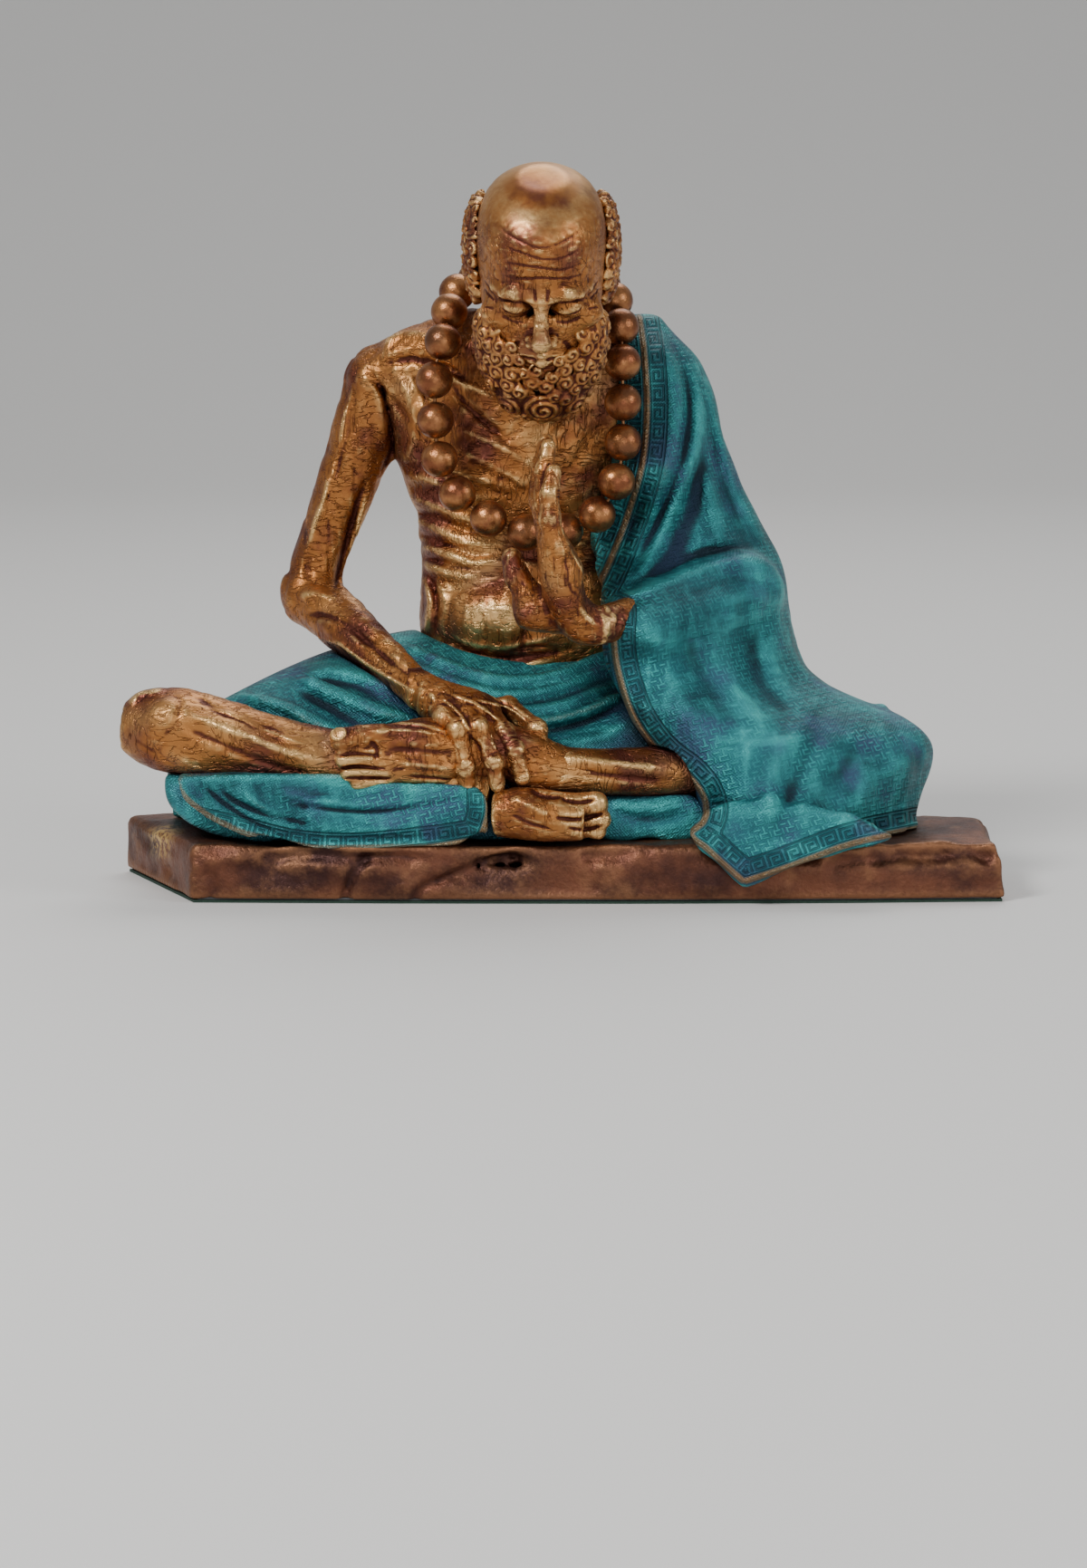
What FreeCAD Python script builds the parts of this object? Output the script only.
import FreeCAD, Part
import math
import os
import Sketcher
from FreeCAD import Placement, Rotation, Vector

# A bronze figure of an elder who sits cross-legged on a slab of rock, head bowed, with a string of
# large beads, one hand raised and the other resting on the crossed feet. The hollow castings meet
# face to face, the neck plugs into head and torso, and bolts hold the figure on its plinth.
# Millimetres. X runs to the viewer's right, Y away from the viewer, Z up, and the origin lies on the
# underside of the felt, at the middle of the plinth.

doc = FreeCAD.newDocument("SeatedElder")

DIMENSIONS = {
    "Plinth": {
        "plinth_length": 330.0,
        "plinth_depth": 124.0,
        "plinth_height": 21.0,
        "plinth_wall": 6.0,
        "plinth_top_wall": 5.0,
        "plinth_edge": 2.0,
        "felt_thickness": 1.0,
        "felt_inset": 1.5,
        "plate_thickness": 2.0,
        "plate_ledge": 3.0,
        "plate_clearance": 0.3,
        "boss_diameter": 9.0,
        "screw_diameter": 3.0,
        "screw_length": 9.0,
        "screw_head_diameter": 5.6,
        "screw_clearance": 0.1,
    },
    "Figure bolts": {
        "bolt_diameter": 5.0,
        "bolt_reach": 14.0,
        "bolt_head_diameter": 8.5,
        "bolt_head_height": 5.0,
        "bolt_clearance": 0.1,
        "washer_diameter": 12.0,
        "washer_thickness": 1.2,
        "post_diameter": 14.0,
        "post_height": 44.0,
    },
    "Figure": {
        "figure_span": 300.0,
        "figure_depth": 100.0,
        "figure_height": 250.0,
        "casting_wall": 4.5,
    },
    "Head": {
        "head_width": 48.0,
        "head_depth": 62.0,
        "head_height": 76.0,
        "neck_diameter": 35.0,
        "nose_length": 17.0,
        "nose_width": 10.0,
        "ear_height": 17.0,
        "ear_width": 5.0,
        "beard_width": 50.0,
        "beard_depth": 37.0,
        "beard_drop": 20.0,
        "hair_height": 44.0,
        "hair_depth": 36.0,
        "hair_thickness": 13.0,
    },
    "Torso": {
        "chest_width": 112.0,
        "chest_depth": 59.0,
    },
    "Limbs": {
        "shoulder_diameter": 31.0,
        "upper_arm_diameter": 22.0,
        "elbow_diameter": 21.0,
        "forearm_diameter": 20.5,
        "wrist_diameter": 14.0,
        "palm_width": 27.0,
        "palm_thickness": 12.0,
        "finger_diameter": 6.4,
        "fingertip_diameter": 4.6,
        "knee_diameter": 31.0,
        "shin_diameter": 26.0,
        "ankle_diameter": 17.5,
        "foot_height": 24.0,
        "foot_thickness": 17.0,
        "toe_diameter": 8.0,
    },
    "Beads": {
        "bead_diameter": 14.0,
        "bead_gap": 0.25,
        "bead_bore": 3.2,
        "wire_diameter": 1.2,
    },
    "Front panel": {
        "panel_thickness": 9.0,
        "panel_height": 27.0,
        "panel_reach": 60.0,
    },
}

sheet = doc.addObject("Spreadsheet::Sheet", "dims")
row = 0
for group, cells in DIMENSIONS.items():
    row += 1
    sheet.set(f"A{row}", group)
    for alias, value in cells.items():
        row += 1
        sheet.set(f"A{row}", alias.replace("_", " "))
        sheet.set(f"B{row}", str(value))
        sheet.setAlias(f"B{row}", alias)
doc.recompute()


def size(alias):
    return float(sheet.get(alias))


AXES = "xyz"


class Spot:
    """A point whose coordinates are sums of shares of named sizes, as numbers and as expressions."""

    def __init__(self, *axes):
        self.axes = [dict(axis) for axis in axes]

    def __add__(self, other):
        joined = [dict(axis) for axis in self.axes]
        for axis, more in zip(joined, other.axes):
            for alias, share in more.items():
                axis[alias] = axis.get(alias, 0) + share
        return Spot(*joined)

    def times(self, factor):
        return Spot(*({alias: share * factor for alias, share in axis.items()} for axis in self.axes))

    def vector(self):
        return Vector(*(sum(share * size(alias) for alias, share in axis.items()) for axis in self.axes))

    def bind(self, piece):
        for letter, axis in zip(AXES, self.axes):
            terms = [f"{share:.5f} * dims.{alias}" for alias, share in axis.items() if share]
            piece.setExpression(f"Placement.Base.{letter}", " + ".join(terms) or "0 * dims.figure_span")


BASE_TOP = "dims.felt_thickness + dims.plinth_height"
base_top = size("felt_thickness") + size("plinth_height")


def place(shares):
    """A point of the figure, from its shares of span, depth and height above the plinth."""
    return Spot({"figure_span": shares[0]}, {"figure_depth": shares[1]},
                {"felt_thickness": 1, "plinth_height": 1, "figure_height": shares[2]})


def between(start, end, share):
    return start.times(1 - share) + end.times(share)


def along(alias, shares):
    """A step whose coordinates are shares of one named size."""
    return Spot(*({alias: share} for share in shares))


# Landmarks of the figure, as shares of span, depth and height above the plinth.
landmark_shares = {
    "skull": (-0.022, -0.33, 0.875),
    "neck_top": (-0.022, -0.13, 0.800),
    "neck_middle": (-0.024, 0.08, 0.768),
    "neck_root": (-0.028, 0.30, 0.700),
    "right_shoulder": (-0.222, 0.37, 0.650),
    "right_elbow": (-0.320, 0.36, 0.332),
    "right_wrist": (-0.163, -0.32, 0.204),
    "left_elbow": (0.235, 0.10, 0.360),
    "left_wrist": (0.055, -0.44, 0.318),
    "right_kneecap": (-0.540, -0.32, 0.162),
    "right_knee": (-0.492, -0.33, 0.158),
    "right_calf": (-0.400, -0.41, 0.144),
    "right_shin": (-0.260, -0.46, 0.112),
    "right_ankle": (-0.085, -0.48, 0.072),
    "left_calf": (0.235, -0.24, 0.092),
    "left_shin": (0.130, -0.39, 0.098),
    "left_ankle": (-0.010, -0.46, 0.100),
}
landmarks = {name: place(shares) for name, shares in landmark_shares.items()}

across_x, across_y, upward = Vector(1, 0, 0), Vector(0, 1, 0), Vector(0, 0, 1)


def feature(kind, name):
    made = doc.addObject(kind, name)
    made.Label = name
    return made


def turned(normal, across):
    """The rotation whose Z axis is the normal and whose X axis leans towards across."""
    z = Vector(normal).normalize()
    x = (across - z * across.dot(z)).normalize()
    return Rotation(x, z.cross(x), z, "ZXY")


def ring(name, spot, normal, across, wide, thick, wall=""):
    """A closed oval section, wide along across and thick square to it. Both are an alias with its
    share, and a wall, an alias too, is taken off all round."""
    less = f" - dims.{wall}" if wall else ""
    halves = [f"dims.{alias} * {share:.4f} / 2{less}" for alias, share in (wide, thick)]
    made = feature("Part::Ellipse", name)
    made.setExpression("MajorRadius", "max({}; {})".format(*halves))
    made.setExpression("MinorRadius", "min({}; {})".format(*halves))
    made.Placement = Placement(Vector(), turned(normal, across))
    spot.bind(made)
    return made


def outline(name, spots):
    """A smooth closed section through a few points."""
    curve = Part.BSplineCurve()
    curve.interpolate([spot.vector() for spot in spots], PeriodicFlag=True)
    made = feature("Part::Feature", name)
    made.Shape = Part.Wire([curve.toShape()])
    return made


def loft(name, sections, ruled=False):
    made = feature("Part::Loft", name)
    made.Sections = sections
    made.Solid = True
    made.Ruled = ruled
    return made


def ball(name, spot, across):
    alias, share = across
    made = feature("Part::Sphere", name)
    made.setExpression("Radius", f"dims.{alias} * {share} / 2")
    spot.bind(made)
    return made


def fused(name, pieces):
    made = feature("Part::MultiFuse", name)
    made.Shapes = pieces
    made.Refine = False
    return made


def cut(name, base, tool):
    made = feature("Part::Cut", name)
    made.Base = base
    made.Tool = tool
    made.Refine = False
    return made


def limb(name, path, girths, across=upward, ruled=False):
    """A round or oval limb along a path: one section at each point, square to the path there.
    A girth is one alias with its share, or two of them for width and thickness."""
    sections = []
    for i, spot in enumerate(path):
        before, after = path[max(i - 1, 0)], path[min(i + 1, len(path) - 1)]
        heading = after.vector() - before.vector()
        sections.append(ring(f"{name}_section_{i + 1}", spot, heading, across, girths[i][0], girths[i][-1]))
    return loft(name, sections, ruled)


parts = []


def finished(name, raw, neighbours=()):
    """The kept piece: raw, cut back to the faces of the neighbours that it is seated on."""
    for i, neighbour in enumerate(neighbours):
        raw = cut(f"{name}_seat_{i + 1}", raw, neighbour)
    raw.Label = name
    parts.append(raw)
    return raw


# The plinth

# Corners of the rock slab, as shares of its length and depth, from front left and anticlockwise.
slab_shares = [
    (-0.412, -0.470), (-0.180, -0.490), (0.080, -0.495), (0.330, -0.480), (0.500, -0.450),
    (0.487, 0.110), (0.330, 0.370), (0.130, 0.505), (-0.120, 0.485), (-0.330, 0.400),
    (-0.500, 0.150),
]
# Places of the plate screws and the figure bolts, as shares of the slab's length and depth. The last
# bolt holds the shawl's knee, the others the lower robe.
screw_place_shares = [(-0.42, 0.06), (-0.20, -0.36), (0.20, -0.36), (0.42, -0.06), (0.0, 0.34)]
bolt_place_shares = [(-0.290, -0.06), (-0.090, 0.20), (0.060, -0.12), (0.352, 0.02)]


def drawn_in(share, alias, inset):
    """A share of a size that is drawn in on both sides by an inset, as an expression and as a number."""
    return f"{share} * (dims.{alias} - 2 * ({inset}))", share * size(alias)


def slab_corners(inset):
    return [(drawn_in(x, "plinth_length", inset), drawn_in(y, "plinth_depth", inset)) for x, y in slab_shares]


def sketch_on(body, name, role, level):
    sketch = body.newObject("Sketcher::SketchObject", name)
    plane = next(f for f in body.Origin.OriginFeatures if f.Role == role)
    sketch.AttachmentSupport = [(plane, "")]
    sketch.MapMode = "FlatFace"
    sketch.setExpression("AttachmentOffset.Base.z", level)
    return sketch


def bind_point(sketch, geometry, end, corner):
    """Holds a point of the sketch at its two coordinates."""
    for kind, (text, value) in zip(("DistanceX", "DistanceY"), corner):
        made = sketch.addConstraint(Sketcher.Constraint(kind, -1, 1, geometry, end, value))
        sketch.setExpression(f"Constraints[{made}]", text)


def polygon_sketch(body, name, corners, level, role="XY_Plane"):
    """A closed polygon at a level, with every corner bound."""
    sketch = sketch_on(body, name, role, level)
    count = len(corners)
    start = [Vector(across[1], upwards[1], 0) for across, upwards in corners]
    for i in range(count):
        sketch.addGeometry(Part.LineSegment(start[i], start[(i + 1) % count]), False)
    for i in range(count):
        sketch.addConstraint(Sketcher.Constraint("Coincident", i, 2, (i + 1) % count, 1))
    for i, corner in enumerate(corners):
        bind_point(sketch, i, 1, corner)
    return sketch


def circle_sketch(body, name, places, diameter, level):
    """One circle of the same diameter at each place."""
    sketch = sketch_on(body, name, "XY_Plane", level)
    rough = size("screw_diameter")
    for i, (x, y) in enumerate(places):
        corner = drawn_in(x, "plinth_length", "0"), drawn_in(y, "plinth_depth", "0")
        sketch.addGeometry(Part.Circle(Vector(corner[0][1], corner[1][1], 0), upward, rough), False)
        made = sketch.addConstraint(Sketcher.Constraint("Radius", i, rough))
        sketch.setExpression(f"Constraints[{made}]", f"({diameter}) / 2")
        bind_point(sketch, i, 3, corner)
    return sketch


def pad(body, name, sketch, length):
    made = body.newObject("PartDesign::Pad", name)
    made.Profile = sketch
    made.setExpression("Length", length)
    return made


def pocket_up(body, name, sketch, length):
    made = body.newObject("PartDesign::Pocket", name)
    made.Profile = sketch
    made.Reversed = True
    made.setExpression("Length", length)
    return made


felt_top = "dims.felt_thickness"
plate_top = "dims.felt_thickness + dims.plate_thickness"
ceiling = "dims.felt_thickness + dims.plinth_height - dims.plinth_top_wall"


def rock_plinth():
    body = feature("PartDesign::Body", "rock_plinth")
    pad(body, "slab", polygon_sketch(body, "slab_outline", slab_corners("0"), felt_top), "dims.plinth_height")
    recess = slab_corners("dims.plinth_wall - dims.plate_ledge")
    pocket_up(body, "plate_recess", polygon_sketch(body, "plate_recess_outline", recess, felt_top),
              "dims.plate_thickness")
    hollow = polygon_sketch(body, "hollow_outline", slab_corners("dims.plinth_wall"), plate_top)
    pocket_up(body, "hollow", hollow, "dims.plinth_height - dims.plinth_top_wall - dims.plate_thickness")
    bosses = circle_sketch(body, "boss_outline", screw_place_shares, "dims.boss_diameter", plate_top)
    pad(body, "bosses", bosses, "dims.plinth_height - dims.plinth_top_wall / 2 - dims.plate_thickness")
    pilots = circle_sketch(body, "screw_hole_outline", screw_place_shares,
                           "dims.screw_diameter + 2 * dims.screw_clearance", felt_top)
    pocket_up(body, "screw_holes", pilots, "dims.screw_length + dims.plate_thickness")
    through = circle_sketch(body, "bolt_hole_outline", bolt_place_shares,
                            "dims.bolt_diameter + 2 * dims.bolt_clearance", felt_top)
    pocket_up(body, "bolt_holes", through, "2 * dims.plinth_height")
    doc.recompute()
    drilled = body.Tip
    top_edges = [
        f"Edge{i + 1}" for i, edge in enumerate(drilled.Shape.Edges)
        if len(edge.Vertexes) == 2 and all(abs(vertex.Z - base_top) < 1e-4 for vertex in edge.Vertexes)
    ]
    chamfer = body.newObject("PartDesign::Chamfer", "broken_edge")
    chamfer.Base = (drilled, top_edges)
    chamfer.setExpression("Size", "dims.plinth_edge")
    body.Tip = chamfer
    parts.append(body)
    return body


def slab_block():
    """All the room of the slab and below it, which cuts the underside of what stands on it."""
    body = feature("PartDesign::Body", "slab_block")
    sketch = polygon_sketch(body, "block_outline", slab_corners("0"), "-dims.plinth_height")
    pad(body, "block", sketch, "2 * dims.plinth_height + dims.felt_thickness")
    return body


def bottom_plate():
    body = feature("PartDesign::Body", "bottom_plate")
    blank = slab_corners("dims.plinth_wall - dims.plate_ledge + dims.plate_clearance")
    pad(body, "plate_blank", polygon_sketch(body, "plate_outline", blank, felt_top), "dims.plate_thickness")
    heads = circle_sketch(body, "head_recess_outline", screw_place_shares,
                          "dims.screw_head_diameter + 2 * dims.screw_clearance", felt_top)
    pocket_up(body, "head_recesses", heads, "dims.plate_thickness / 2")
    shanks = circle_sketch(body, "shank_hole_outline", screw_place_shares,
                           "dims.screw_diameter + 2 * dims.screw_clearance", felt_top)
    pocket_up(body, "shank_holes", shanks, "2 * dims.plate_thickness")
    parts.append(body)
    return body


def felt_sheet():
    body = feature("PartDesign::Body", "felt_sheet")
    blank = polygon_sketch(body, "felt_outline", slab_corners("dims.felt_inset"), "0 * dims.felt_thickness")
    pad(body, "felt_blank", blank, "dims.felt_thickness")
    parts.append(body)
    return body


def stacked(name, places, steps):
    """The same turned pin at each place, in steps of diameter, low end and high end, all expressions."""
    pins = []
    for i, (x, y) in enumerate(places):
        turned_steps = []
        for j, (diameter, low, high) in enumerate(steps):
            step = feature("Part::Cylinder", f"{name}_{i + 1}_step_{j + 1}")
            step.setExpression("Radius", f"({diameter}) / 2")
            step.setExpression("Height", f"({high}) - ({low})")
            step.setExpression("Placement.Base.x", f"{x} * dims.plinth_length")
            step.setExpression("Placement.Base.y", f"{y} * dims.plinth_depth")
            step.setExpression("Placement.Base.z", low)
            turned_steps.append(step)
        pins.append(turned_steps[0] if len(turned_steps) == 1 else fused(f"{name}_{i + 1}", turned_steps))
    group = feature("Part::Compound", name)
    group.Links = pins
    return group


def plate_screws():
    low = "dims.felt_thickness"
    screws = stacked("plate_screws", screw_place_shares, [
        ("dims.screw_head_diameter", low, f"{low} + dims.plate_thickness / 2"),
        ("dims.screw_diameter", low, f"{low} + dims.screw_length"),
    ])
    parts.append(screws)
    return screws


def washers():
    discs = stacked("bolt_washers", bolt_place_shares,
                    [("dims.washer_diameter", f"{ceiling} - dims.washer_thickness", ceiling)])
    holes = stacked("washer_bores", bolt_place_shares,
                    [("dims.bolt_diameter + 2 * dims.bolt_clearance",
                      f"{ceiling} - 2 * dims.washer_thickness", f"{ceiling} + dims.washer_thickness")])
    made = cut("bolt_washers_bored", discs, holes)
    discs.Label = "washer_blanks"
    made.Label = "bolt_washers"
    parts.append(made)
    return made


def figure_bolts():
    seat = f"{ceiling} - dims.washer_thickness"
    bolts = stacked("figure_bolts", bolt_place_shares, [
        ("dims.bolt_head_diameter", f"{seat} - dims.bolt_head_height", seat),
        ("dims.bolt_diameter", seat, f"{seat} + dims.bolt_reach"),
    ])
    parts.append(bolts)
    return bolts


# Head, beard, hair and neck

head_tilt = 28.0
head_up = Vector(0, -math.sin(math.radians(head_tilt)), math.cos(math.radians(head_tilt)))
head_front = Vector(0, -math.cos(math.radians(head_tilt)), -math.sin(math.radians(head_tilt)))
head_side = across_x

# Sections of the bowed head, from crown to chin: height above the skull's middle as a share of head
# height, depth and width as shares of their sizes, and forward shift as a share of head depth.
head_section_shares = [
    (0.365, 0.16, 0.18, 0.00), (0.345, 0.46, 0.48, 0.00), (0.290, 0.72, 0.74, 0.00),
    (0.190, 0.92, 0.94, 0.00), (0.040, 1.00, 1.00, 0.00), (-0.120, 0.99, 0.98, 0.01),
    (-0.280, 0.88, 0.92, 0.06), (-0.420, 0.74, 0.82, 0.12), (-0.540, 0.56, 0.66, 0.19),
    (-0.620, 0.34, 0.42, 0.26),
]
beard_section_shares = [
    (-0.260, 0.62, 0.90, 0.235), (-0.360, 0.92, 1.00, 0.215), (-0.480, 1.00, 0.98, 0.205),
    (-0.620, 0.90, 0.86, 0.225), (-0.740, 0.68, 0.66, 0.245), (-0.820, 0.36, 0.34, 0.265),
]
# Sections of an egg-shaped lobe: place along its long axis and girth, as shares of its half sizes.
egg_section_shares = [(-0.98, 0.20), (-0.80, 0.60), (-0.40, 0.92), (0.05, 1.00), (0.50, 0.87), (0.85, 0.53),
                      (0.98, 0.20)]


def head_step(alias, share, direction):
    return Spot(*({alias: share * part} for part in direction))


def head_point(up, front, side=0.0):
    """A point of the head, from shares of its height, depth and width."""
    return (landmarks["skull"] + head_step("head_height", up, head_up)
            + head_step("head_depth", front, head_front) + head_step("head_width", side, head_side))


def head_loft(name, section_shares, wide, deep, across, wall=""):
    sections = []
    for i, (up, depth, width, front) in enumerate(section_shares):
        sections.append(ring(f"{name}_section_{i + 1}", head_point(up, front), head_up, across,
                             (deep, depth), (wide, width), wall))
    return loft(name, sections)


def egg(name, centre, up, across, tall, wide, deep):
    """A lobe that is tall along up, wide along across and deep square to both."""
    alias, share = tall
    sections = []
    for i, (rise, girth) in enumerate(egg_section_shares):
        spot = centre + Spot(*({alias: share * rise * part / 2} for part in up))
        sections.append(ring(f"{name}_section_{i + 1}", spot, up, across, (wide[0], wide[1] * girth),
                             (deep[0], deep[1] * girth)))
    return loft(name, sections)


def head_forms():
    skull = head_loft("skull_and_face", head_section_shares, "head_width", "head_depth", head_front)
    nose = egg("nose", head_point(-0.230, 0.470), head_up, head_front, ("nose_length", 1.0),
               ("nose_width", 1.1), ("nose_width", 1.0))
    brow = egg("brow", head_point(-0.080, 0.440), head_side, head_front, ("head_width", 0.68),
               ("nose_width", 0.9), ("nose_width", 0.8))
    ears = [
        egg(f"{word}_ear", head_point(-0.150, -0.04, 0.495 * sign), head_up, head_front,
            ("ear_height", 1.0), ("ear_height", 0.6), ("ear_width", 1.0))
        for word, sign in (("right", -1), ("left", 1))
    ]
    return fused("head_outside", [skull, nose, brow, *ears])


def neck_form():
    path = [landmarks["neck_top"], landmarks["neck_middle"], landmarks["neck_root"]]
    girths = [[("neck_diameter", 0.94)], [("neck_diameter", 1.0)], [("neck_diameter", 1.25)]]
    return limb("neck_raw", path, girths, across_x)


def beard_form():
    return head_loft("beard_raw", beard_section_shares, "beard_width", "beard_depth", head_side)


def hair_form(word, sign):
    side_lobe = egg(f"{word}_hair_side", head_point(-0.100, -0.160, 0.470 * sign), head_up, head_front,
                    ("hair_height", 1.0), ("hair_depth", 1.0), ("hair_thickness", 1.0))
    nape_lobe = egg(f"{word}_hair_nape", head_point(-0.260, -0.330, 0.300 * sign), head_up, head_front,
                    ("hair_height", 0.68), ("hair_depth", 0.68), ("hair_thickness", 1.5))
    return fused(f"{word}_hair_raw", [side_lobe, nape_lobe])


# Torso

# Sections of the torso, from seat to shoulders: level, middle across and middle in depth as shares
# of the figure, then width and depth as shares of the chest's.
torso_section_shares = [
    (0.150, -0.022, 0.30, 0.88, 1.00), (0.260, -0.027, 0.31, 0.80, 1.00), (0.355, -0.028, 0.30, 0.79, 1.03),
    (0.425, -0.028, 0.32, 0.80, 0.93), (0.510, -0.030, 0.33, 0.90, 1.00), (0.600, -0.033, 0.34, 1.02, 1.02),
    (0.675, -0.036, 0.34, 1.06, 0.92), (0.735, -0.036, 0.32, 0.84, 0.70), (0.765, -0.034, 0.30, 0.50, 0.46),
]
# The hollow inside it stops below the shoulders and is open at the seat.
torso_hollow_count = 7


def torso_form():
    def sections(name, rows, wall):
        return [
            ring(f"{name}_section_{i + 1}", place((across, depth, level)), upward, across_x,
                 ("chest_width", wide), ("chest_depth", deep), wall)
            for i, (level, across, depth, wide, deep) in enumerate(rows)
        ]

    outside = loft("torso_outside", sections("torso", torso_section_shares, ""))
    inner_rows = torso_section_shares[:torso_hollow_count]
    hollow = loft("torso_hollow", sections("torso_hollow", inner_rows, "casting_wall"))
    return outside, hollow


# Arms and hands

# Finger joints of the resting hand, from the wrist, as shares of palm width: knuckle to tip.
resting_finger_shares = {
    "little": [(0.24, -0.68, -0.20), (0.44, -0.90, -0.32), (0.54, -0.96, -0.84), (0.57, -0.92, -1.12)],
    "ring": [(0.55, -0.50, -0.22), (0.70, -0.84, -0.30), (0.92, -0.96, -0.76), (0.97, -0.95, -1.08)],
    "middle": [(0.85, -0.28, -0.18), (1.06, -0.66, -0.38), (1.21, -0.86, -0.60), (1.31, -0.90, -0.98)],
    "index": [(1.12, -0.02, -0.14), (1.50, -0.42, -0.38), (1.56, -0.56, -0.62), (1.58, -0.60, -0.84)],
    "thumb": [(0.45, 0.20, -0.20), (0.95, 0.34, -0.36), (1.30, 0.14, -0.58), (1.48, -0.06, -0.74)],
}
knuckle_line = Vector(0.8, 0.6, 0.1)
resting_palm_shares = [(0.0, 0.0, 0.0), (0.32, -0.14, -0.06), (0.62, -0.34, -0.16), (0.78, -0.42, -0.24)]

# The raised hand, from its wrist, as shares of palm width: the fingers point up, the palm faces the
# figure's right, and the index finger bends down to the thumb.
raised_finger_shares = {
    "little": [(-0.66, -0.44, 1.10), (-0.74, -0.50, 1.50), (-0.74, -0.46, 1.84), (-0.70, -0.36, 2.12)],
    "ring": [(-0.72, -0.20, 1.20), (-0.82, -0.22, 1.68), (-0.82, -0.18, 2.12), (-0.76, -0.12, 2.44)],
    "middle": [(-0.76, 0.04, 1.22), (-0.88, 0.06, 1.72), (-0.86, 0.06, 2.16), (-0.80, 0.04, 2.50)],
    "index": [(-0.77, 0.28, 1.16), (-0.88, 0.30, 1.62), (-0.87, 0.28, 2.00), (-0.80, 0.22, 2.30)],
    "thumb": [(-0.62, 0.28, 0.14), (-1.02, 0.40, 0.36), (-1.20, 0.42, 0.66), (-1.26, 0.42, 0.88)],
}
raised_palm_shares = [(0.0, 0.0, -0.05), (-0.42, -0.04, 0.16), (-0.60, -0.06, 0.60), (-0.70, -0.06, 1.08),
                      (-0.74, -0.06, 1.24)]


# Where a finger starts inside the palm, as a share of the way from wrist to knuckle.
finger_root_share = 0.6


def fingers(name, wrist, finger_shares):
    made = []
    for word, joint_shares in finger_shares.items():
        joints = [wrist + along("palm_width", shares) for shares in joint_shares]
        path = [between(wrist, joints[0], finger_root_share), *joints]
        girths = [[("finger_diameter", share)] for share in (1.05, 1.12, 1.0, 0.9)]
        made.append(limb(f"{name}_{word}_finger", path, [*girths, [("fingertip_diameter", 1.0)]], ruled=True))
        made.append(ball(f"{name}_{word}_tip", path[-1], ("fingertip_diameter", 1.08)))
    return made


def resting_hand():
    wrist = landmarks["right_wrist"]
    path = [wrist + along("palm_width", shares) for shares in resting_palm_shares]
    palm = limb("right_palm", path, [
        [("wrist_diameter", 1.1), ("wrist_diameter", 0.85)], [("palm_width", 0.82), ("palm_thickness", 1.0)],
        [("palm_width", 1.02), ("palm_thickness", 0.95)], [("palm_width", 0.98), ("palm_thickness", 0.70)],
    ], knuckle_line)
    return fused("right_hand_raw", [palm, *fingers("right", wrist, resting_finger_shares)])


def raised_hand():
    wrist = landmarks["left_wrist"]
    path = [wrist + along("palm_width", shares) for shares in raised_palm_shares]
    palm = limb("left_palm", path, [
        [("wrist_diameter", 1.0), ("wrist_diameter", 0.95)], [("palm_width", 0.72), ("palm_thickness", 1.30)],
        [("palm_width", 0.92), ("palm_thickness", 1.15)], [("palm_width", 0.96), ("palm_thickness", 0.80)],
        [("palm_width", 0.88), ("palm_thickness", 0.62)],
    ], across_y)
    return fused("left_hand_raw", [palm, *fingers("left", wrist, raised_finger_shares)])


def right_upper_arm_form():
    shoulder, elbow = landmarks["right_shoulder"], landmarks["right_elbow"]
    path = [between(shoulder, elbow, share) for share in (0.0, 0.28, 0.62, 0.92)]
    arm = limb("right_upper_arm_shaft", path, [
        [("shoulder_diameter", 0.96)], [("upper_arm_diameter", 1.18)], [("upper_arm_diameter", 1.0)],
        [("elbow_diameter", 1.0)],
    ], across_x)
    return fused("right_upper_arm_raw", [arm, ball("right_deltoid", shoulder, ("shoulder_diameter", 1.0)),
                                         ball("right_elbow_ball", elbow, ("elbow_diameter", 1.06))])


def right_forearm_form():
    elbow, wrist = landmarks["right_elbow"], landmarks["right_wrist"]
    path = [between(elbow, wrist, share) for share in (0.0, 0.24, 0.62, 1.0)]
    return limb("right_forearm_raw", path, [
        [("elbow_diameter", 0.98)], [("forearm_diameter", 1.06)], [("forearm_diameter", 0.84)],
        [("wrist_diameter", 1.1), ("wrist_diameter", 0.9)],
    ], knuckle_line)


def left_forearm_form():
    elbow, wrist = landmarks["left_elbow"], landmarks["left_wrist"]
    path = [between(elbow, wrist, share) for share in (0.55, 0.80, 1.0, 1.06)]
    return limb("left_forearm_raw", path, [
        [("forearm_diameter", 0.84)], [("wrist_diameter", 1.06)], [("wrist_diameter", 1.0)],
        [("wrist_diameter", 0.9)],
    ])


# Legs and feet

# Sections of a foot from heel to toes, from the ankle as shares of foot height: place, height and
# thickness.
upper_foot_shares = [
    ((0.16, 0.02, 0.02), 0.62, 0.84), ((-0.60, -0.02, 0.30), 0.84, 1.00), ((-1.50, -0.06, 0.34), 1.00, 1.00),
    ((-2.25, -0.06, 0.30), 0.98, 0.86), ((-2.72, -0.02, 0.24), 0.80, 0.66),
]
upper_toe_shares = [((-2.94, -0.04, 0.56), 1.15), ((-3.00, 0.00, 0.24), 0.86), ((-2.98, 0.02, -0.02), 0.78)]
lower_foot_shares = [
    ((0.08, -0.30, -0.30), 0.70, 0.90), ((0.50, -0.40, -0.28), 0.82, 1.04), ((1.02, -0.46, -0.32), 0.78, 1.02),
    ((1.46, -0.50, -0.34), 0.66, 0.84),
]
lower_toe_shares = [((1.64, -0.54, -0.10), 1.10), ((1.72, -0.48, -0.36), 0.84), ((1.66, -0.42, -0.56), 0.74)]


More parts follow.
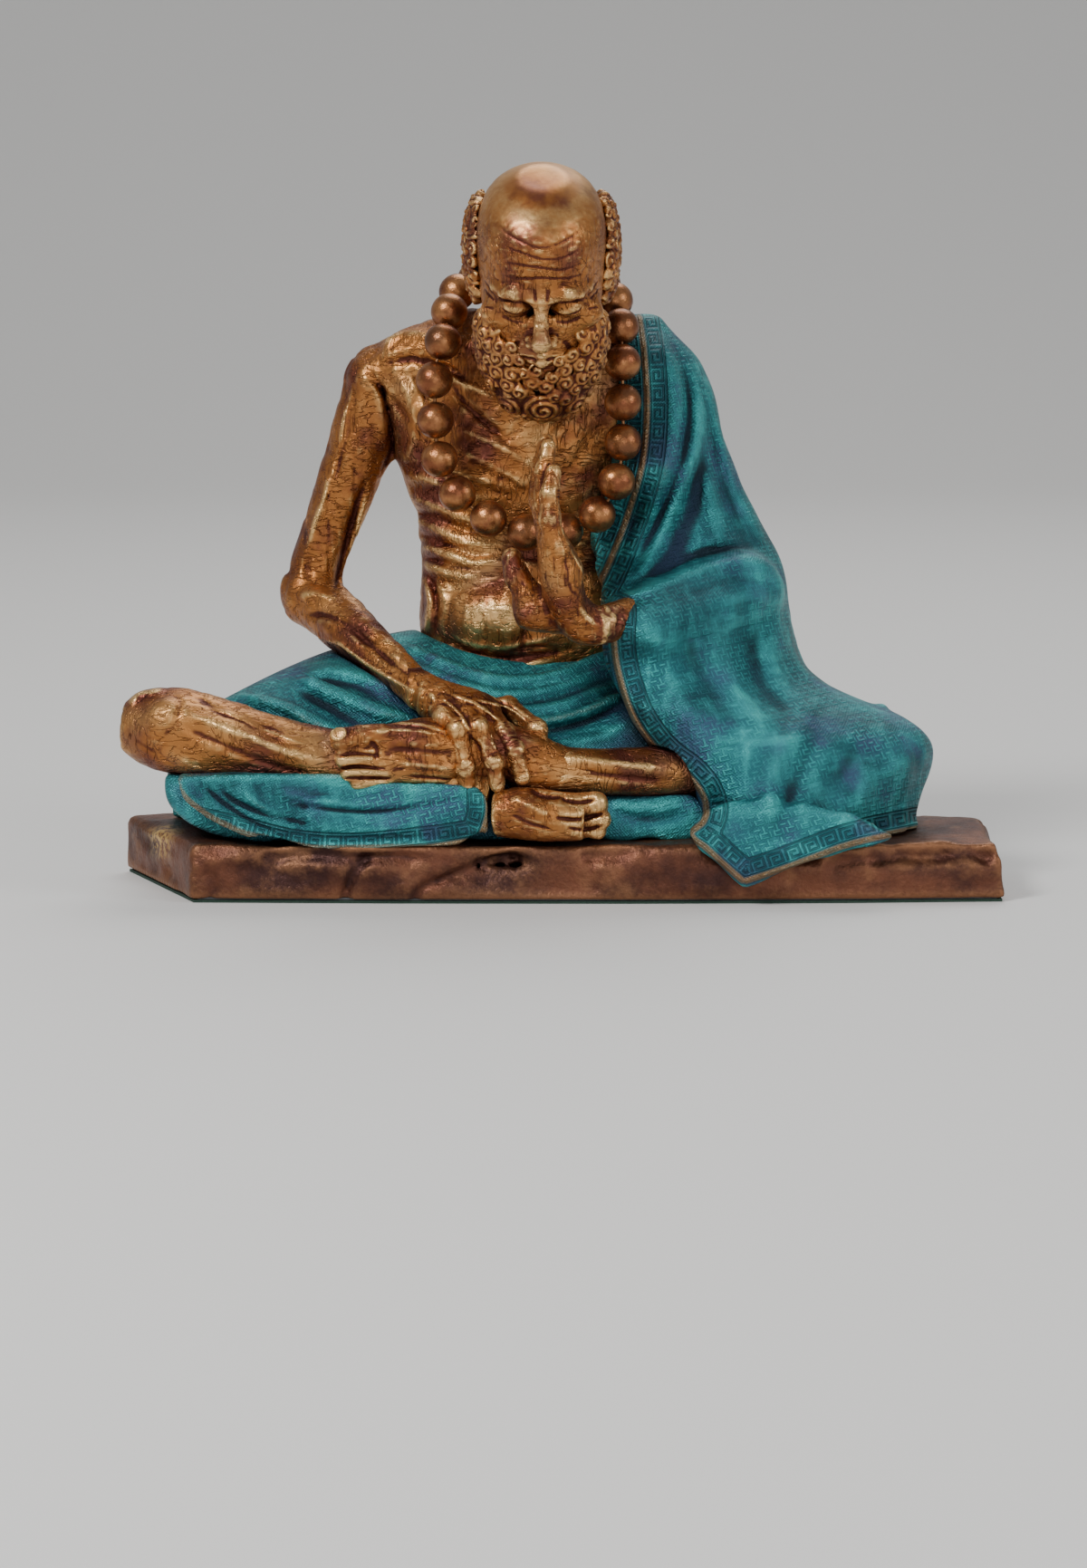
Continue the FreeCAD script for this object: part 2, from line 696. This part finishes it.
def foot_form(name, ankle, section_shares, toe_shares):
    path = [ankle + along("foot_height", shares) for shares, _, _ in section_shares]
    girths = [[("foot_height", tall), ("foot_thickness", thick)] for _, tall, thick in section_shares]
    sole = limb(f"{name}_sole", path, girths)
    toes = [ball(f"{name}_toe_{i + 1}", ankle + along("foot_height", shares), ("toe_diameter", share))
            for i, (shares, share) in enumerate(toe_shares)]
    return fused(f"{name}_raw", [sole, *toes])


def right_leg_form():
    path = [landmarks[name] for name in ("right_kneecap", "right_knee", "right_calf", "right_shin", "right_ankle")]
    return limb("right_leg_raw", path, [
        [("knee_diameter", 0.56)], [("knee_diameter", 1.0)], [("shin_diameter", 1.08)],
        [("shin_diameter", 0.96)], [("ankle_diameter", 1.0)],
    ])


def left_leg_form():
    path = [landmarks[name] for name in ("left_calf", "left_shin", "left_ankle")]
    return limb("left_leg_raw", path, [
        [("shin_diameter", 0.86)], [("ankle_diameter", 1.08)], [("ankle_diameter", 0.98)],
    ])


# Robe and shawl

# Sections of the lower robe, from the right knee to the left hip: place across as a share of the span,
# then eight points as shares of depth and height, from the bottom front and over the lap.
robe_section_shares = [
    (-0.487, [(-0.38, -0.03), (-0.44, 0.05), (-0.36, 0.12), (-0.22, 0.155), (-0.05, 0.14), (0.08, 0.08),
              (0.05, -0.02), (-0.15, -0.04)]),
    (-0.400, [(-0.46, -0.03), (-0.51, 0.05), (-0.43, 0.13), (-0.20, 0.195), (0.08, 0.19), (0.30, 0.11),
              (0.28, -0.02), (-0.10, -0.04)]),
    (-0.300, [(-0.48, -0.03), (-0.52, 0.06), (-0.42, 0.14), (-0.10, 0.235), (0.28, 0.235), (0.50, 0.13),
              (0.46, -0.02), (0.00, -0.04)]),
    (-0.183, [(-0.48, -0.03), (-0.50, 0.06), (-0.40, 0.13), (-0.05, 0.240), (0.33, 0.275), (0.56, 0.15),
              (0.53, -0.02), (0.05, -0.04)]),
    (-0.033, [(-0.46, -0.03), (-0.47, 0.05), (-0.36, 0.12), (-0.02, 0.230), (0.34, 0.290), (0.59, 0.16),
              (0.56, -0.02), (0.08, -0.04)]),
    (0.117, [(-0.46, -0.03), (-0.47, 0.05), (-0.36, 0.12), (-0.02, 0.220), (0.34, 0.280), (0.57, 0.15),
             (0.54, -0.02), (0.08, -0.04)]),
    (0.200, [(-0.40, -0.03), (-0.41, 0.05), (-0.32, 0.10), (-0.05, 0.160), (0.22, 0.180), (0.40, 0.11),
             (0.38, -0.02), (0.04, -0.04)]),
]
# The hollows under the robe and under the shawl: level, middle across and in depth, then width and
# depth, as shares of the figure.
robe_hollow_shares = [(-0.03, -0.13, 0.06, 0.58, 0.78), (0.06, -0.13, 0.06, 0.56, 0.76),
                      (0.105, -0.13, 0.06, 0.42, 0.58)]
shawl_hollow_shares = [(-0.03, 0.265, 0.00, 0.22, 0.64), (0.06, 0.268, 0.00, 0.22, 0.62),
                       (0.12, 0.262, 0.04, 0.19, 0.56), (0.22, 0.215, 0.10, 0.13, 0.46),
                       (0.32, 0.190, 0.14, 0.11, 0.42), (0.40, 0.180, 0.22, 0.07, 0.36)]

# Sections of the shawl, from the plinth to the shoulder: level, then eight points as shares of span
# and depth, from the front hem and round by the left side to the back.
shawl_section_shares = [
    (0.000, [(0.175, -0.50), (0.240, -0.585), (0.350, -0.45), (0.440, -0.24), (0.430, 0.15), (0.283, 0.45),
              (0.130, 0.55), (0.125, 0.00)]),
    (0.092, [(0.180, -0.50), (0.255, -0.55), (0.370, -0.45), (0.463, -0.15), (0.440, 0.22), (0.283, 0.50),
             (0.133, 0.58), (0.125, 0.00)]),
    (0.160, [(0.127, -0.49), (0.210, -0.51), (0.330, -0.40), (0.430, -0.12), (0.400, 0.18), (0.267, 0.52),
             (0.133, 0.60), (0.110, 0.00)]),
    (0.224, [(0.095, -0.45), (0.167, -0.44), (0.240, -0.30), (0.310, 0.00), (0.300, 0.30), (0.227, 0.56),
             (0.127, 0.62), (0.090, -0.05)]),
    (0.292, [(0.077, -0.41), (0.150, -0.37), (0.227, -0.20), (0.287, 0.05), (0.283, 0.35), (0.217, 0.58),
             (0.120, 0.63), (0.082, 0.00)]),
    (0.344, [(0.080, -0.36), (0.150, -0.30), (0.220, -0.12), (0.280, 0.10), (0.280, 0.36), (0.213, 0.59),
             (0.113, 0.64), (0.075, 0.06)]),
    (0.412, [(0.052, -0.04), (0.127, -0.06), (0.200, -0.02), (0.263, 0.14), (0.260, 0.38), (0.200, 0.59),
             (0.107, 0.64), (0.047, 0.10)]),
    (0.492, [(0.073, -0.03), (0.127, -0.05), (0.177, 0.02), (0.223, 0.18), (0.220, 0.42), (0.173, 0.61),
             (0.093, 0.66), (0.060, 0.12)]),
    (0.592, [(0.095, 0.00), (0.133, -0.02), (0.167, 0.06), (0.197, 0.22), (0.193, 0.44), (0.153, 0.61),
             (0.080, 0.66), (0.067, 0.16)]),
    (0.672, [(0.097, 0.03), (0.127, 0.02), (0.153, 0.10), (0.180, 0.24), (0.173, 0.44), (0.133, 0.58),
             (0.060, 0.62), (0.067, 0.20)]),
    (0.724, [(0.093, 0.08), (0.110, 0.08), (0.130, 0.14), (0.150, 0.26), (0.140, 0.40), (0.107, 0.52),
             (0.047, 0.55), (0.060, 0.24)]),
    (0.756, [(0.093, 0.17), (0.103, 0.17), (0.117, 0.20), (0.127, 0.27), (0.117, 0.36), (0.090, 0.43),
             (0.047, 0.44), (0.060, 0.27)]),
]
# Outline of the front panel, as shares of the span and of the panel's height, from its top left.
panel_shares = [(-0.470, 0.95), (-0.455, 0.66), (-0.428, 0.42), (-0.380, 0.16), (-0.300, -0.01), (-0.200, -0.05),
                (-0.125, 0.00), (-0.100, 0.18), (-0.090, 0.50), (-0.100, 0.80), (-0.180, 0.92), (-0.300, 0.98)]


def hollow_form(name, hollow_shares):
    sections = [
        ring(f"{name}_section_{i + 1}", place((across, depth, level)), upward, across_x,
             ("figure_span", wide), ("figure_depth", deep))
        for i, (level, across, depth, wide, deep) in enumerate(hollow_shares)
    ]
    return loft(name, sections)


def robe_form():
    sections = [
        outline(f"robe_section_{i + 1}", [place((across, depth, level)) for depth, level in points])
        for i, (across, points) in enumerate(robe_section_shares)
    ]
    return loft("robe_outside", sections)


def shawl_form():
    sections = [
        outline(f"shawl_section_{i + 1}", [place((across, depth, level)) for across, depth in points])
        for i, (level, points) in enumerate(shawl_section_shares)
    ]
    return loft("shawl_outside", sections)


def panel_form():
    """The flat fold of the robe under the right shin, drawn on the plane that faces the viewer."""
    body = feature("PartDesign::Body", "panel_raw")
    corners = [
        ((f"{x} * dims.figure_span", x * size("figure_span")),
         (f"{BASE_TOP} + {z} * dims.panel_height", base_top + z * size("panel_height")))
        for x, z in panel_shares
    ]
    edge = polygon_sketch(body, "panel_outline", corners, "dims.panel_reach - dims.panel_thickness", "XZ_Plane")
    pad(body, "panel_pad", edge, "dims.panel_thickness")
    return body


def bolt_posts(name, places):
    return stacked(name, places, [
        ("dims.post_diameter", BASE_TOP, f"{BASE_TOP} + dims.post_height"),
    ])


def bolt_holes():
    seat = f"{ceiling} - dims.washer_thickness"
    return stacked("bolt_holes_in_figure", bolt_place_shares, [
        ("dims.bolt_diameter + 2 * dims.bolt_clearance", f"{seat} - dims.bolt_head_height",
         f"{seat} + dims.bolt_reach + dims.bolt_clearance"),
    ])


# Beads

# Where the string of beads lies on the figure, as shares of the figure, with the direction in which
# a bead stands off the surface there: down the chest on both sides and up behind the neck.
string_shares = [
    ((-0.155, 0.010, 0.668), (0, -1, 0)), ((-0.153, 0.005, 0.590), (0, -1, 0)),
    ((-0.140, 0.020, 0.520), (0, -1, 0)), ((-0.100, 0.020, 0.470), (0, -1, 0)),
    ((-0.045, 0.020, 0.440), (0, -1, 0)), ((0.015, 0.020, 0.444), (0, -1, 0)),
    ((0.058, -0.040, 0.484), (0, -1, 0)), ((0.078, -0.040, 0.560), (0, -1, 0)),
    ((0.079, -0.020, 0.640), (0, -1, 0)), ((0.078, 0.030, 0.720), (0, -1, 0)),
    ((0.066, 0.160, 0.762), (0, 0, 1)), ((0.030, 0.360, 0.782), (0, 0, 1)),
    ((-0.030, 0.440, 0.782), (0, 0, 1)), ((-0.095, 0.360, 0.782), (0, 0, 1)),
    ((-0.133, 0.140, 0.754), (0, 0, 1)), ((-0.145, 0.040, 0.722), (0, -1, 0)),
]


def string_line():
    spots = [place(shares) + along("bead_diameter", [part / 2 for part in stand_off])
             for shares, stand_off in string_shares]
    path = Part.BSplineCurve()
    path.interpolate([spot.vector() for spot in spots], PeriodicFlag=True)
    return path


# The wire's two ends meet inside the first bead, this share of the string apart.
wire_end_share = 0.002


def necklace():
    """Bored beads at even steps along the string, and the wire that runs through them."""
    path = string_line()
    line = path.toShape()
    count = int(line.Length / (size("bead_diameter") + size("bead_gap")))
    for i, centre in enumerate(line.discretize(Number=count + 1)[:count]):
        heading = path.tangent(path.parameter(centre))[0]
        facing = Placement(centre, Rotation(upward, heading))
        blank = feature("Part::Sphere", f"bead_blank_{i + 1}")
        blank.setExpression("Radius", "dims.bead_diameter / 2")
        blank.Placement = facing
        bore = feature("Part::Cylinder", f"bead_bore_{i + 1}")
        bore.setExpression("Radius", "dims.bead_bore / 2")
        bore.setExpression("Height", "2 * dims.bead_diameter")
        bore.Placement = facing.multiply(Placement(upward * -size("bead_diameter"), Rotation()))
        bead = cut(f"bead_{i + 1:02d}", blank, bore)
        finished(bead.Label, bead)
    first, last = path.FirstParameter, path.LastParameter
    margin = (last - first) * wire_end_share
    spine = feature("Part::Feature", "wire_path")
    spine.Shape = path.toShape(first + margin, last - margin)
    section = feature("Part::Circle", "wire_section")
    section.setExpression("Radius", "dims.wire_diameter / 2")
    section.Placement = Placement(path.value(first + margin), Rotation(upward, path.tangent(first + margin)[0]))
    wire = feature("Part::Sweep", "necklace_wire")
    wire.Sections = [section]
    wire.Spine = (spine, ["Edge1"])
    wire.Solid = True
    wire.Frenet = False
    finished("necklace_wire", wire)


def assemble():
    rock_plinth()
    block = slab_block()
    bottom_plate()
    felt_sheet()
    plate_screws()
    washers()
    figure_bolts()

    neck_raw = neck_form()
    torso_outside, torso_hollow = torso_form()
    head_outside = head_forms()
    head_hollow = head_loft("head_hollow", head_section_shares[2:7], "head_width", "head_depth", head_front,
                            "casting_wall")
    finished("head", cut("head_shell", head_outside, head_hollow), [neck_raw])
    finished("neck", neck_raw)
    beard = finished("beard", beard_form(), [head_outside, neck_raw])
    for word, sign in (("right", -1), ("left", 1)):
        finished(f"{word}_hair", hair_form(word, sign), [head_outside, neck_raw, beard])
    finished("torso", cut("torso_shell", torso_outside, torso_hollow), [neck_raw])

    upper_arm_raw = right_upper_arm_form()
    left_leg_raw = left_leg_form()
    left_foot = finished("left_foot", foot_form("left_foot", landmarks["left_ankle"], upper_foot_shares,
                                                upper_toe_shares))
    left_leg = finished("left_leg", left_leg_raw, [left_foot])
    finished("right_upper_arm", upper_arm_raw, [torso_outside])
    hand = finished("right_hand", resting_hand(), [left_foot, left_leg_raw])
    forearm = finished("right_forearm", right_forearm_form(), [upper_arm_raw, hand])
    right_foot = finished("right_foot", foot_form("right_foot", landmarks["right_ankle"], lower_foot_shares,
                                                  lower_toe_shares), [block, left_foot, left_leg_raw, hand])
    right_leg = finished("right_leg", right_leg_form(), [left_foot, left_leg_raw, right_foot, hand])
    left_hand = finished("left_hand", raised_hand())
    left_forearm = finished("left_forearm", left_forearm_form(), [left_hand])
    panel = finished("front_panel", panel_form(), [block, right_leg, left_foot, right_foot, hand])

    holes = bolt_holes()
    shawl_outside = shawl_form()
    shawl_shell = cut("shawl_shell", shawl_outside, hollow_form("shawl_hollow", shawl_hollow_shares))
    shawl_body = fused("shawl_with_post", [shawl_shell, bolt_posts("shawl_post", bolt_place_shares[3:])])
    finished("shawl", shawl_body, [torso_outside, neck_raw, left_forearm, left_hand, left_leg, holes])
    robe_shell = cut("robe_shell", robe_form(), hollow_form("robe_hollow", robe_hollow_shares))
    robe_body = fused("robe_with_posts", [robe_shell, bolt_posts("robe_posts", bolt_place_shares[:3])])
    finished("lower_robe", robe_body,
             [block, torso_outside, shawl_outside, right_leg, left_leg, right_foot, left_foot, hand, forearm,
              panel, holes])
    necklace()


assemble()
doc.recompute()

failed = [f"{o.Label}: {o.State}" for o in doc.Objects if "Invalid" in o.State or "Error" in o.State]
for piece in parts:
    shape = piece.Shape
    if shape.isNull() or not shape.isValid() or not shape.Solids:
        failed.append(f"{piece.Label}: bad shape")
if failed:
    raise RuntimeError("; ".join(failed))

os.makedirs("parts", exist_ok=True)
for piece in parts:
    shape = piece.Shape
    volumes = sorted((round(solid.Volume / 1000, 2) for solid in shape.Solids), reverse=True)
    print(f"{piece.Label}: {volumes} cm3")
    shape.exportStep(f"parts/{piece.Label}.step")
